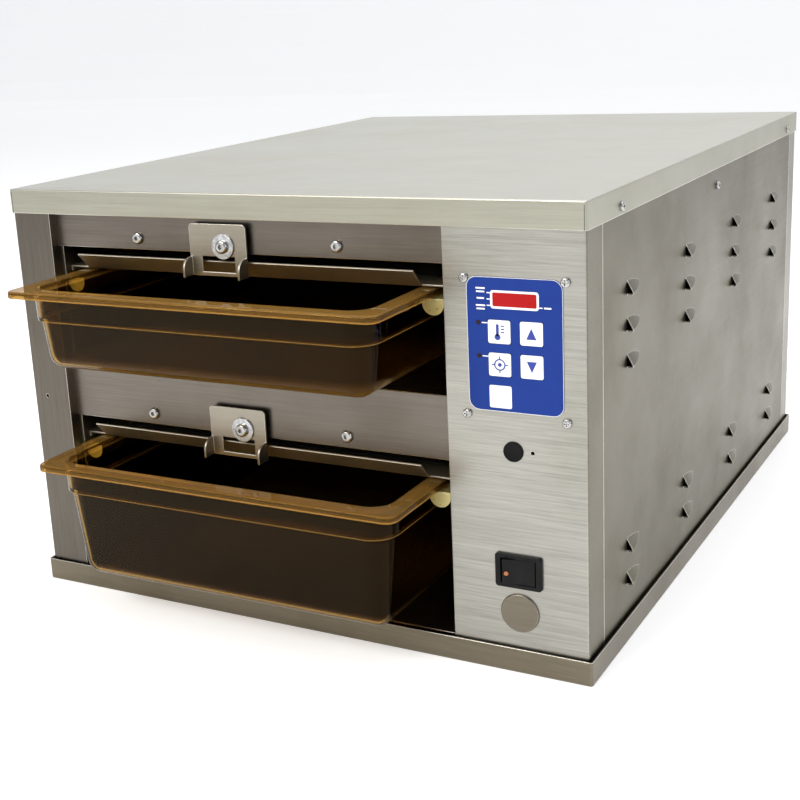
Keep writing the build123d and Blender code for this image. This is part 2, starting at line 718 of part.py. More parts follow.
board_rear = board_front + board_thick
with BuildPart() as control_board:
    block(board_left, board_right, board_front, board_rear, board_bottom, board_top)
    chips = ((175, 275, 18, 9), (210, 262, 14, 14), (180, 240, 10, 10), (222, 215, 12, 22))
    for chip_x, chip_z, chip_width, chip_height in chips:
        block(chip_x - chip_width / 2, chip_x + chip_width / 2, board_rear, board_rear + chip_tall,
              chip_z - chip_height / 2, chip_z + chip_height / 2)
    pins_left, pins_right, pins_bottom, pins_thick, pins_pitch = 160, 200, 192, 7, 11
    for pin_row in range(3):
        row_z = pins_bottom + pins_pitch * pin_row
        block(pins_left, pins_right, board_rear, board_rear + pin_tall, row_z,
              row_z + pins_thick)
control_board.part.label = "control_board"
export_step(control_board.part, "parts/control_board.step")

# ================================================================ switch and plugs
blade_half, blade_wide = 0.4, 6.4            # every push-on terminal in the cabinet
rocker_tilt = 8.0
rocker_half_z = 9.3
pivot_y = front + 1.4
pin_r, pin_reach = 1.2, 1.2
bezel = 2.5                      # how far the housing stands proud of the panel
switch_deep, blade_long = 24.0, 10.0
well_x, well_z, well_deep = 13.5, 9.7, 10.0  # pocket that the rocker sits in

with BuildPart() as switch_housing:
    block(switch_x - switch_width / 2, switch_x + switch_width / 2, front - bezel, front,
          switch_z - switch_height / 2, switch_z + switch_height / 2)
    fillet(switch_housing.edges().filter_by(Axis.Y), radius=2.5)
    fillet(switch_housing.faces().sort_by(Axis.Y)[0].edges(), radius=0.8)
    block(switch_x - switch_body_x, switch_x + switch_body_x, front, front + switch_deep,
          switch_z - switch_body_z, switch_z + switch_body_z)
    block(switch_x - well_x, switch_x + well_x, front - bezel - 1, front + well_deep,
          switch_z - well_z, switch_z + well_z, mode=Mode.SUBTRACT)
    with Locations((switch_x, pivot_y, switch_z)):
        Cylinder(pin_r + 0.06, 2 * (rocker_half_z + pin_reach) + 0.2, mode=Mode.SUBTRACT)
    for blade in (-9, 0, 9):
        block(switch_x + blade - blade_half, switch_x + blade + blade_half,
              front + switch_deep, front + switch_deep + blade_long,
              switch_z - blade_wide / 2, switch_z + blade_wide / 2)
switch_housing.part.label = "switch_housing"
export_step(switch_housing.part, "parts/switch_housing.step")

# The rocker's face is a shallow V. At rest its left half stands proud.
rocker_reach, rocker_rise, rocker_keel = 12.0, 3.5, 5.0
rocker_slope = rocker_reach * tan(radians(rocker_tilt))
tilt = Vector(cos(radians(rocker_tilt)), sin(radians(rocker_tilt)), 0)
rocker_plane = Plane(origin=(switch_x, pivot_y, switch_z - rocker_half_z), x_dir=tilt,
                     z_dir=(0, 0, 1))
lamp_across, lamp_r, lamp_deep = 9.0, 1.6, 2.5
lamp_face = rocker_rise + lamp_across * tan(radians(rocker_tilt))
lamp_point = rocker_plane.from_local_coords(Vector(-lamp_across, -lamp_face, rocker_half_z - 1.2))
lamp_axis = Vector(sin(radians(2 * rocker_tilt)), -cos(radians(2 * rocker_tilt)), 0)

with BuildPart() as power_rocker:
    with BuildSketch(rocker_plane):
        with BuildLine():
            Polyline((-rocker_reach, -rocker_rise - rocker_slope), (0, -rocker_rise),
                     (rocker_reach, -rocker_rise - rocker_slope), (rocker_reach + 0.4, 0),
                     (rocker_keel, rocker_keel), (-rocker_keel, rocker_keel),
                     (-rocker_reach - 0.4, 0), close=True)
        make_face()
    extrude(amount=2 * rocker_half_z)
    fillet(power_rocker.edges().filter_by(Axis.Z), radius=0.4)
    with Locations((switch_x, pivot_y, switch_z)):
        Cylinder(pin_r, 2 * (rocker_half_z + pin_reach))
    with Locations(Plane(origin=lamp_point, z_dir=lamp_axis)):
        Cylinder(lamp_r + 0.05, 2 * lamp_deep, mode=Mode.SUBTRACT)
power_rocker.part.label = "power_rocker"
export_step(power_rocker.part, "parts/power_rocker.step")

with BuildPart() as rocker_lamp:
    with Locations(Plane(origin=lamp_point, z_dir=-lamp_axis)):
        Cylinder(lamp_r, lamp_deep, align=CORNER_UP)
    with Locations(Plane(origin=lamp_point, z_dir=lamp_axis)):
        Cylinder(lamp_r, 0.3, align=CORNER_UP)
rocker_lamp.part.label = "rocker_lamp"
export_step(rocker_lamp.part, "parts/rocker_lamp.step")

with BuildPart() as port_plug:
    with Locations(facing(port_x, front, port_z, FRONT)):
        Cylinder(port_r, 1.8, align=CORNER_UP)
    fillet(port_plug.edges().group_by(Axis.Y)[0], radius=1.3)
    with Locations(facing(port_x, front, port_z, BACK)):
        Cylinder(port_stem_r, 8.0, align=CORNER_UP)
port_plug.part.label = "port_plug"
export_step(port_plug.part, "parts/port_plug.step")

with BuildPart() as steel_hole_plug:
    with Locations(facing(cap_x, front, cap_z, FRONT)):
        Cylinder(cap_r, 1.7, align=CORNER_UP)
    fillet(steel_hole_plug.edges().group_by(Axis.Y)[0], radius=1.1)
    with Locations(facing(cap_x, front, cap_z, BACK)):
        Cylinder(cap_stem_r, 5.0, align=CORNER_UP)
        Cylinder(cap_stem_r - 1, 5.0, align=CORNER_UP, mode=Mode.SUBTRACT)
steel_hole_plug.part.label = "steel_hole_plug"
export_step(steel_hole_plug.part, "parts/steel_hole_plug.step")

# ================================================================ heaters and insulation
mat_thick = 1.5
mat_left, mat_right = bay_x - 150.0, bay_x + 150.0
mat_front, mat_rear = -270.0, 210.0
heaters = {
    "upper_lid_heater": upper_rail_z + lid_rise,
    "middle_deck_heater": middle_deck_z - sheet - mat_thick,
    "lower_lid_heater": lower_rail_z + lid_rise,
    "bottom_deck_heater": bottom_deck_z - sheet - mat_thick,
}
for heater_name, heater_z in heaters.items():
    with BuildPart() as heater:
        block(mat_left, mat_right, mat_front, mat_rear, heater_z, heater_z + mat_thick)
    heater.part.label = heater_name
    export_step(heater.part, f"parts/{heater_name}.step")

wool_front, wool_rear = -300.5, 229.0
wool_left, wool_back = -240.4, 283.0         # outer faces of the left and rear slabs
wool_floor, wool_top = 4.0, 336.0
top_wool = (298.0, 338.0)
middle_wool = (153.5, 197.0)
slabs = {
    "top_insulation": (deck_left + 1, deck_right - 1, wool_front, wool_rear, *top_wool),
    "middle_insulation": (deck_left + 1, deck_right - 1, wool_front, wool_rear, *middle_wool),
    "left_insulation": (wool_left, wall_left - sheet - 0.2, wool_front, wool_rear,
                        wool_floor, wool_top),
    "rear_insulation": (wall_left, wall_right, bay_rear + sheet + 0.2, wool_back,
                        wool_floor, wool_top),
}
for slab_name, slab_box in slabs.items():
    with BuildPart() as slab:
        block(*slab_box)
    slab.part.label = slab_name
    export_step(slab.part, f"parts/{slab_name}.step")

# ================================================================ electrical parts
hardware_x = wall_right + sheet              # outer face of the bays' right wall

with BuildPart() as temperature_probes:
    for rail_z in (upper_rail_z, lower_rail_z):
        probe_z = rail_z + lid_rise + probe_rise
        with Locations(facing(wall_right - probe_reach, probe_y, probe_z, RIGHT)):
            Cylinder(probe_r, probe_reach + 16.0, align=CORNER_UP)
        with BuildSketch(facing(hardware_x, probe_y, probe_z, RIGHT)):
            RegularPolygon(6.0, 6)
        extrude(amount=6.0)
temperature_probes.part.label = "temperature_probes"
export_step(temperature_probes.part, "parts/temperature_probes.step")

limit_y, limit_drop, limit_r, limit_thick = 140.0, 18.0, 8.0, 9.0
limit_blade = 8.0
with BuildPart() as limit_thermostats:
    for rail_z in (upper_rail_z, lower_rail_z):
        limit_z = rail_z - limit_drop
        with Locations(facing(hardware_x, limit_y, limit_z, RIGHT)):
            Cylinder(limit_r, limit_thick, align=CORNER_UP)
        for blade in (-4, 4):
            block(hardware_x + limit_thick, hardware_x + limit_thick + limit_blade,
                  limit_y + blade - blade_half, limit_y + blade + blade_half,
                  limit_z - blade_wide / 2, limit_z + blade_wide / 2)
limit_thermostats.part.label = "limit_thermostats"
export_step(limit_thermostats.part, "parts/limit_thermostats.step")

relay_y, relay_centres = -37.5, (139.0, 234.0)
relay_thick, relay_wide, relay_tall = 22.0, 45.0, 58.0
stud_y, stud_z, stud_r, stud_tall = 14.5, 20.0, 4.0, 3.0
with BuildPart() as heat_relays:
    for relay_z in relay_centres:
        block(hardware_x, hardware_x + relay_thick, relay_y - relay_wide / 2,
              relay_y + relay_wide / 2, relay_z - relay_tall / 2, relay_z + relay_tall / 2)
        for side in (-1, 1):
            for rise in (-stud_z, stud_z):
                with Locations(facing(hardware_x + relay_thick, relay_y + side * stud_y,
                                      relay_z + rise, RIGHT)):
                    Cylinder(stud_r, stud_tall, align=CORNER_UP)
heat_relays.part.label = "heat_relays"
export_step(heat_relays.part, "parts/heat_relays.step")

core_x, core_y = 188.0, -196.0               # transformer's centre
foot_thick, core_top = 3.0, 45.0
coil_bottom, coil_top = 12.0, 36.0
with BuildPart() as transformer:
    for half_x, half_y, low, high in ((28.0, 24.0, 0.0, foot_thick),
                                      (22.0, 18.0, foot_thick, core_top),
                                      (17.0, 28.0, coil_bottom, coil_top)):
        block(core_x - half_x, core_x + half_x, core_y - half_y, core_y + half_y,
              floor_z + low, floor_z + high)
transformer.part.label = "transformer"
export_step(transformer.part, "parts/transformer.step")

poles, pole_pitch, pole_wide, pole_long, pole_tall = 6, 12.0, 8.0, 16.0, 5.0
strip_left, strip_mid_y, strip_wide, strip_tall = 160.0, 212.0, 24.0, 14.0
with BuildPart() as terminal_block:
    block(strip_left, strip_left + poles * pole_pitch, strip_mid_y - strip_wide / 2,
          strip_mid_y + strip_wide / 2, floor_z, floor_z + strip_tall)
    for pole in range(poles):
        pole_left = strip_left + pole * pole_pitch + (pole_pitch - pole_wide) / 2
        block(pole_left, pole_left + pole_wide, strip_mid_y - pole_long / 2,
              strip_mid_y + pole_long / 2, floor_z + strip_tall,
              floor_z + strip_tall + pole_tall)
terminal_block.part.label = "terminal_block"
export_step(terminal_block.part, "parts/terminal_block.step")

with BuildPart() as cord_gland:
    with Locations(facing(gland_x, back, gland_z, BACK)):
        Cylinder(15.0, 3.0, align=CORNER_UP)
    fillet(cord_gland.edges().group_by(Axis.Y)[-1], radius=1.0)
    with Locations(facing(gland_x, back, gland_z, FRONT)):
        Cylinder(gland_r, 18.0, align=CORNER_UP)
    with BuildSketch(facing(gland_x, back - sheet, gland_z, FRONT)):
        RegularPolygon(15.5, 6)
    extrude(amount=5.0)
    drill(gland_x, back, gland_z, BACK, cord_r, 60.0)
cord_gland.part.label = "cord_gland"
export_step(cord_gland.part, "parts/cord_gland.step")
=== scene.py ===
from math import cos, pi, radians, sin

import bmesh
import bpy
from mathutils import Euler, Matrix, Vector


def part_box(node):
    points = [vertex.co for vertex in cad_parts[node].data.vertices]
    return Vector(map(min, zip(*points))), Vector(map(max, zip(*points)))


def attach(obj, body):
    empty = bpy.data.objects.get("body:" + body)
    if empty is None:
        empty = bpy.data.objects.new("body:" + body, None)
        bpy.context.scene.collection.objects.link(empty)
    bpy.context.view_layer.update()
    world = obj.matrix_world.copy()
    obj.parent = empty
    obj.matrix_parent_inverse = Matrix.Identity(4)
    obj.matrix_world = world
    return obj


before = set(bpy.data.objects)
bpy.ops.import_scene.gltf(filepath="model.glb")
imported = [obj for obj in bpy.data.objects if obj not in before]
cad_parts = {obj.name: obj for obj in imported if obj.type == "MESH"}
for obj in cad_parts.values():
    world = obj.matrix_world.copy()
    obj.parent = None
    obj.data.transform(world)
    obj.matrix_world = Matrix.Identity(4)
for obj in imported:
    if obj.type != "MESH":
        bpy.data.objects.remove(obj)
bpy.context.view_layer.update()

# Looks of a two-bay heated holding cabinet. Metres, in the cabinet's own frame:
# +Z up, +Y to the back, +X to the right as seen from the front.

MM = 0.001
PAN_SHOULDER = 25.0 * MM         # a pan's top down to the step in its walls
EDGE_HIGHLIGHT = (0.80, 0.77, 0.70)   # painted highlight colour along sheet edges

# ---------------------------------------------------------------- shader helpers


class Shader:
    """A Principled material whose colour, roughness and relief come from nodes."""

    def __init__(self, name, **values):
        self.material = bpy.data.materials.new(name)
        self.material.use_nodes = True
        self.nodes = self.material.node_tree.nodes
        self.links = self.material.node_tree.links
        self.surface = self.nodes["Principled BSDF"]
        for socket, value in values.items():
            self.surface.inputs[socket.replace("_", " ")].default_value = value
        self.place = self.nodes.new("ShaderNodeTexCoord").outputs["Object"]

    def noise(self, stretch, detail=5.0, roughness=0.55, offset=0.0):
        """Noise from 0 to 1. stretch is its frequency along x, y and z, in cycles a metre."""
        mapping = self.nodes.new("ShaderNodeMapping")
        mapping.inputs["Scale"].default_value = stretch
        mapping.inputs["Location"].default_value = (offset, offset, offset)
        self.links.new(self.place, mapping.inputs["Vector"])
        texture = self.nodes.new("ShaderNodeTexNoise")
        texture.inputs["Scale"].default_value = 1.0
        texture.inputs["Detail"].default_value = detail
        texture.inputs["Roughness"].default_value = roughness
        self.links.new(mapping.outputs["Vector"], texture.inputs["Vector"])
        return texture.outputs["Fac"]

    def spread(self, value, low, high, out_low=0.0, out_high=1.0):
        """The value's range from low to high, stretched over a new range."""
        node = self.nodes.new("ShaderNodeMapRange")
        for socket, number in zip(("From Min", "From Max", "To Min", "To Max"),
                                  (low, high, out_low, out_high)):
            node.inputs[socket].default_value = number
        self.links.new(value, node.inputs["Value"])
        return node.outputs["Result"]

    def mix(self, share, first, second, blend="MIX"):
        """Between two colours. Either may be an output of another node. No share is a full one."""
        node = self.nodes.new("ShaderNodeMix")
        node.data_type = "RGBA"
        node.blend_type = blend
        node.inputs["Factor"].default_value = 1.0
        if share:
            self.links.new(share, node.inputs["Factor"])
        for socket, colour in ((node.inputs[6], first), (node.inputs[7], second)):
            if isinstance(colour, bpy.types.NodeSocket):
                self.links.new(colour, socket)
            else:
                socket.default_value = (*colour, 1.0)
        return node.outputs[2]

    def add(self, first, second, operation="ADD"):
        """The sum of two values, or another operation on them."""
        node = self.nodes.new("ShaderNodeMath")
        node.operation = operation
        for socket, value in zip(node.inputs, (first, second)):
            if isinstance(value, bpy.types.NodeSocket):
                self.links.new(value, socket)
            else:
                socket.default_value = value
        return node.outputs["Value"]

    def square_to(self, axis):
        """1 on the faces that look along an axis, either way, and 0 on the others."""
        normal = self.nodes.new("ShaderNodeNewGeometry").outputs["Normal"]
        split = self.nodes.new("ShaderNodeSeparateXYZ")
        self.links.new(normal, split.inputs["Vector"])
        return self.spread(self.add(split.outputs[axis.upper()], 0.0, "ABSOLUTE"), 0.6, 0.8)

    def edges(self, radius):
        """Rounds the edges of sheet metal, and returns how close to one a point is."""
        bevel = self.nodes.new("ShaderNodeBevel")
        bevel.inputs["Radius"].default_value = radius
        bevel.samples = 6
        self.rounded = bevel.outputs["Normal"]
        flat = self.nodes.new("ShaderNodeNewGeometry").outputs["Normal"]
        dot = self.nodes.new("ShaderNodeVectorMath")
        dot.operation = "DOT_PRODUCT"
        self.links.new(self.rounded, dot.inputs[0])
        self.links.new(flat, dot.inputs[1])
        return self.spread(dot.outputs["Value"], 1.0, 0.93)

    def relief(self, height, depth, strength=1.0):
        """Raises the surface by a height from 0 to 1, depth metres at most."""
        bump = self.nodes.new("ShaderNodeBump")
        bump.inputs["Strength"].default_value = strength
        bump.inputs["Distance"].default_value = depth
        self.links.new(height, bump.inputs["Height"])
        if getattr(self, "rounded", None):
            self.links.new(self.rounded, bump.inputs["Normal"])
        self.links.new(bump.outputs["Normal"], self.surface.inputs["Normal"])
        self.rounded = bump.outputs["Normal"]

    def feed(self, socket, value):
        self.links.new(value, self.surface.inputs[socket])


def along(axis, slow, fast):
    """A noise frequency that is slow along the grain and fast across it."""
    return tuple(slow if name == axis else fast for name in "xyz")


def brushed(name, colour, grain, roughness=0.3, waviness=0.25 * MM, contrast=0.16, stain=0.12,
            facing=None, painted_light_colour=None):
    """Brushed stainless sheet: fine grain, smudges, slow waves and a painted highlight along its
    edges.

    Faces square to the axis named by facing get painted light or shade: a lighter or darker tone of
    their own, for how the light falls on them.
    """
    steel = Shader(name, Metallic=1.0)
    fine = steel.noise(along(grain, 20.0, 950.0), detail=4.0, roughness=0.75)
    coarse = steel.noise(along(grain, 9.0, 300.0), detail=4.0, roughness=0.7, offset=3.1)
    streaks = steel.add(steel.add(fine, 0.6, "MULTIPLY"), steel.add(coarse, 0.4, "MULTIPLY"))
    smudges = steel.noise((9.0, 9.0, 9.0), detail=6.0, roughness=0.62, offset=7.7)
    tone = [c * (1 - contrast) for c in colour], [min(1.0, c * (1 + contrast)) for c in colour]
    grain_and_face_light = steel.mix(steel.spread(streaks, 0.35, 0.65), *tone)
    # Painted light and shade: faces square to one axis get their own lighter or darker tone, for how
    # the light falls on them.
    if facing:
        tone = ([c * (1 - contrast) for c in painted_light_colour],
                [min(1.0, c * (1 + contrast)) for c in painted_light_colour])
        other = steel.mix(steel.spread(streaks, 0.35, 0.65), *tone)
        grain_and_face_light = steel.mix(steel.square_to(facing), grain_and_face_light, other)
    stains = steel.mix(steel.spread(smudges, 0.5, 0.72, 0.0, 0.7), (1.0, 1.0, 1.0),
                       (1 - stain, 1 - 1.1 * stain, 1 - 1.5 * stain))
    stains_and_face_light = steel.mix(None, grain_and_face_light, stains, "MULTIPLY")
    # Painted highlight: the edges are lightened towards a bright steel colour, standing in for light
    # caught on the rounded edges.
    edge = steel.edges(0.8 * MM)
    edge_lit_colour = steel.mix(steel.add(edge, 0.9, "MULTIPLY"), stains_and_face_light, EDGE_HIGHLIGHT)
    steel.feed("Base Color", edge_lit_colour)
    steel.feed("Roughness", steel.add(
        steel.spread(streaks, 0.3, 0.7, roughness - 0.05, roughness + 0.08),
        steel.spread(smudges, 0.35, 0.7, -0.03, 0.09)))
    steel.relief(streaks, 0.035 * MM, 0.8)
    waves = steel.noise(along(grain, 2.6, 4.2), detail=1.5, roughness=0.4, offset=1.3)
    steel.relief(waves, waviness * 8, 0.5)
    return steel.material


def polished(name, colour, roughness, scratch=0.03 * MM):
    """Small bright fastener metal with fine turning marks and dulled spots."""
    metal = Shader(name, Metallic=1.0)
    marks = metal.noise((2200.0, 2200.0, 2200.0), detail=3.0, roughness=0.7)
    spots = metal.noise((260.0, 260.0, 260.0), detail=4.0)
    dull = tuple(c * 0.72 for c in colour)
    metal.feed("Base Color", metal.mix(metal.spread(spots, 0.45, 0.7), colour, dull))
    metal.feed("Roughness", metal.spread(spots, 0.3, 0.7, roughness - 0.06, roughness + 0.14))
    metal.edges(0.25 * MM)
    metal.relief(marks, scratch, 0.5)
    return metal.material


def moulded(name, colour, roughness, grain=0.05 * MM, mottle_and_highlight=0.25, **values):
    """A moulded or printed plastic: faint mottling, fine texture, and paler edges that are a painted
    highlight.
    """
    plastic = Shader(name, **values)
    mottle = plastic.noise((60.0, 60.0, 60.0), detail=5.0)
    texture = plastic.noise((1500.0, 1500.0, 1500.0), detail=2.0)
    pale = tuple(min(1.0, c * (1 + mottle_and_highlight) + 0.02 * mottle_and_highlight) for c in colour)
    body = plastic.mix(plastic.spread(mottle, 0.35, 0.7), colour, pale)
    # Painted highlight: the edges are lightened towards the pale tone; the same paleness also gives
    # the random mottling.
    edge = plastic.edges(0.35 * MM)
    plastic.feed("Base Color", plastic.mix(plastic.add(edge, 0.5, "MULTIPLY"), body, pale))
    plastic.feed("Roughness", plastic.spread(mottle, 0.3, 0.7, roughness - 0.04, roughness + 0.08))
    plastic.relief(texture, grain, 0.35)
    return plastic.material


def amber_plastic(name, node):
    """Clear dark amber food-pan plastic with a dulled bloom.

    Its rim, its lip, its shoulder and its bottom bend get a painted golden glow with less
    transmission, standing in for the light they gather, so they are more golden than the walls.
    """
    low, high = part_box(node)
    pan = Shader(name, IOR=1.21, Specular_Tint=(1.0, 0.76, 0.42, 1.0))
    haze = pan.noise((14.0, 14.0, 14.0), detail=1.0)
    split = pan.nodes.new("ShaderNodeSeparateXYZ")
    pan.links.new(pan.place, split.inputs["Vector"])
    rise = split.outputs["Z"]
    # Painted highlight bands: a golden glow by height on the rim, the lip, the shoulder ledge and the
    # bottom bend.
    rim = pan.spread(rise, high.z - 6.5 * MM, high.z - 5.0 * MM, 0.0, 0.30)
    lip = pan.add(pan.spread(rise, high.z - 3.6 * MM, high.z - 4.6 * MM, 0.0, 0.55),
                  pan.spread(rise, high.z - 1.3 * MM, high.z - 0.5 * MM, 0.0, 0.30), "MAXIMUM")
    under = pan.spread(rise, high.z - 6.5 * MM, high.z - 5.4 * MM)
    bend = pan.spread(rise, low.z + 11.0 * MM, low.z + 1.0 * MM, 0.0, 0.42)
    shoulder = high.z - PAN_SHOULDER
    ledge = pan.add(pan.spread(rise, shoulder + 1.0 * MM, shoulder + 0.2 * MM),
                    pan.spread(rise, shoulder - 0.8 * MM, shoulder - 0.1 * MM, 0.0, 0.85),
                    "MULTIPLY")
    painted_glow = pan.add(pan.add(rim, pan.add(lip, under, "MULTIPLY")),
                       pan.add(bend, ledge, "MAXIMUM"), "MAXIMUM")
    wall = pan.mix(pan.spread(haze, 0.4, 0.7), (0.27, 0.165, 0.040), (0.22, 0.13, 0.030))
    pan.feed("Base Color", pan.mix(painted_glow, wall, (0.74, 0.43, 0.10)))
    pan.feed("Transmission Weight", pan.spread(painted_glow, 0.0, 1.0, 1.0, 0.62))
    pan.feed("Roughness", pan.spread(haze, 0.35, 0.75, 0.008, 0.035))
    return pan.material


def zinc_yellow(name):
    """Yellow-passivated zinc on steel, with the plating's uneven pale bloom."""
    zinc = Shader(name, Metallic=0.75)
    bloom = zinc.noise((70.0, 45.0, 70.0), detail=5.0)
    grain = zinc.noise((500.0, 60.0, 500.0), detail=3.0, offset=2.0)
    tint = zinc.mix(zinc.spread(bloom, 0.35, 0.68), (0.56, 0.47, 0.17), (0.66, 0.60, 0.30))
    zinc.feed("Base Color", tint)
    zinc.feed("Roughness", zinc.spread(grain, 0.3, 0.7, 0.26, 0.42))
    zinc.edges(0.4 * MM)
    zinc.relief(grain, 0.03 * MM, 0.5)
    return zinc.material


def wool(name):
    """Mineral-fibre batt."""
    batt = Shader(name, Sheen_Weight=0.3, Roughness=0.95)
    fibres = batt.noise((90.0, 1400.0, 500.0), detail=8.0, roughness=0.8)
    clumps = batt.noise((40.0, 40.0, 40.0), detail=5.0)
    pale = batt.mix(batt.spread(fibres, 0.3, 0.7), (0.42, 0.36, 0.20), (0.72, 0.66, 0.46))
    batt.feed("Base Color", batt.mix(batt.spread(clumps, 0.3, 0.8, 0.0, 0.4), pale, (0.5, 0.42, 0.25)))
    batt.relief(fibres, 1.2 * MM, 0.8)
    return batt.material


# ---------------------------------------------------------------- materials
# Each sheet has its grain along its own axis, and the steel's tone differs between sheets as painted
# light and shade: each sheet is lighter or darker by how much light it catches.
steel_front = brushed("steel_front", (0.34, 0.332, 0.298), "x", roughness=0.32, contrast=0.24,
                      stain=0.14, facing="x", painted_light_colour=(0.155, 0.138, 0.100))
steel_strip = brushed("steel_strip", (0.155, 0.137, 0.117), "x", roughness=0.30, stain=0.14)
steel_pillar = brushed("steel_pillar", (0.118, 0.105, 0.088), "z", roughness=0.30, stain=0.12,
                       facing="x", painted_light_colour=(0.225, 0.20, 0.165))
steel_side = brushed("steel_side", (0.138, 0.122, 0.085), "y", roughness=0.32, waviness=0.5 * MM,
                     stain=0.12)
steel_top = brushed("steel_top", (0.38, 0.37, 0.305), "x", roughness=0.34, contrast=0.10,
                    stain=0.07, facing="z", painted_light_colour=(0.51, 0.50, 0.44))
steel_base = brushed("steel_base", (0.17, 0.147, 0.108), "x", roughness=0.30, stain=0.16)
steel_plain = brushed("steel_plain", (0.26, 0.24, 0.205), "x", roughness=0.28, stain=0.15)
steel_plate = brushed("steel_plate", (0.33, 0.305, 0.255), "x", roughness=0.34, contrast=0.12)
steel_lid = brushed("steel_lid", (0.36, 0.32, 0.24), "x", roughness=0.46, contrast=0.10)
fastener = polished("bright_zinc", (0.46, 0.46, 0.45), 0.20)
washer = polished("washer_zinc", (0.50, 0.51, 0.52), 0.26)
cap_steel = brushed("cap_steel", (0.18, 0.158, 0.122), "x", roughness=0.36, contrast=0.10)
amber_upper = amber_plastic("amber_upper", "upper_pan")
amber_lower = amber_plastic("amber_lower", "lower_pan")
yellow_zinc = zinc_yellow("yellow_zinc")
blue_film = moulded("blue_film", (0.008, 0.034, 0.22), 0.45, mottle_and_highlight=0.08, Specular_IOR_Level=0.15)
white_film = moulded("white_film", (0.86, 0.87, 0.86), 0.36, mottle_and_highlight=0.05)
ink_white = moulded("ink_white", (0.84, 0.85, 0.85), 0.42, mottle_and_highlight=0.04)
ink_blue = moulded("ink_blue", (0.016, 0.036, 0.28), 0.42, mottle_and_highlight=0.10)
red_lens = moulded("red_lens", (0.38, 0.006, 0.007), 0.34, mottle_and_highlight=0.1, Specular_IOR_Level=0.12)
lamp_dark = moulded("lamp_dark", (0.020, 0.006, 0.005), 0.3, Specular_IOR_Level=0.15)
lamp_amber = moulded("lamp_amber", (0.36, 0.10, 0.012), 0.25, Coat_Weight=0.3)
black = moulded("black_plastic", (0.004, 0.004, 0.004), 0.30, mottle_and_highlight=0.3, Specular_IOR_Level=0.12)
black_soft = moulded("black_nylon", (0.003, 0.003, 0.003), 0.42, mottle_and_highlight=0.3, Specular_IOR_Level=0.1)
seam_dark = moulded("seam_shadow", (0.045, 0.042, 0.038), 0.6)
board_green = moulded("board_green", (0.02, 0.16, 0.05), 0.3, Coat_Weight=0.3)
heater_black = moulded("heater_silicone", (0.03, 0.028, 0.026), 0.75, grain=0.3 * MM)
core_steel = moulded("core_steel", (0.12, 0.12, 0.125), 0.45, grain=0.2 * MM, Metallic=0.6)
fibre = wool("mineral_fibre")

looks = {
    steel_front: ["control_panel"],
    steel_strip: ["upper_fascia", "middle_fascia"],
    steel_pillar: ["left_side_panel"],
    steel_side: ["right_side_panel"],
    steel_top: ["top_cover"],
    steel_base: ["base_tray"],
    steel_plain: ["back_panel", "bay_left_wall", "bay_right_wall", "bay_rear_wall",
                  "ceiling_channel", "middle_deck", "bottom_deck"],
    steel_plate: ["upper_retainer", "lower_retainer"],
    steel_lid: ["upper_lid", "lower_lid"],
    cap_steel: ["steel_hole_plug"],
    washer: ["retainer_washers"],
    fastener: ["case_screws", "fascia_screws", "overlay_screws", "retainer_screws",
               "retainer_spacers", "board_standoffs", "limit_thermostats", "temperature_probes"],
    amber_upper: ["upper_pan"],
    amber_lower: ["lower_pan"],
    yellow_zinc: ["upper_left_rail", "upper_right_rail", "lower_left_rail", "lower_right_rail"],
    blue_film: ["keypad_overlay"],
    white_film: ["actual_key", "setpoint_key", "up_key", "down_key"],
    red_lens: ["display_window"],
    lamp_dark: ["indicator_lights"],
    lamp_amber: ["rocker_lamp"],
    black: ["switch_housing", "power_rocker", "heat_relays"],
    black_soft: ["port_plug", "cord_gland", "terminal_block", "display_module", "key_switches"],
    board_green: ["control_board"],
    heater_black: ["upper_lid_heater", "middle_deck_heater", "lower_lid_heater",
                   "bottom_deck_heater"],
    core_steel: ["transformer"],
    fibre: ["top_insulation", "middle_insulation", "left_insulation", "rear_insulation"],
}
for material, nodes in looks.items():
    for node in nodes:
        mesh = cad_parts[node].data
        mesh.materials.clear()
        mesh.materials.append(material)

# ---------------------------------------------------------------- printed marks
# Marks are thin flat plates on the film, in outlines of (x, z) points.
PRINT_THICK, PRINT_SINK = 0.08 * MM, 0.04 * MM


def rounded(x, z, width, height, radius, steps=6):
    """A rounded rectangle's outline about its centre."""
    points = []
    corners = ((1, 1, 0), (-1, 1, 90), (-1, -1, 180), (1, -1, 270))
    for side_x, side_z, start in corners:
        for step in range(steps + 1):
            angle = radians(start + 90 * step / steps)
            points.append((x + side_x * (width / 2 - radius) + radius * cos(angle),
                           z + side_z * (height / 2 - radius) + radius * sin(angle)))
    return points


def disc(x, z, radius, steps=28):
    """A circle's outline about its centre."""
    return [(x + radius * cos(2 * pi * k / steps), z + radius * sin(2 * pi * k / steps))
            for k in range(steps)]


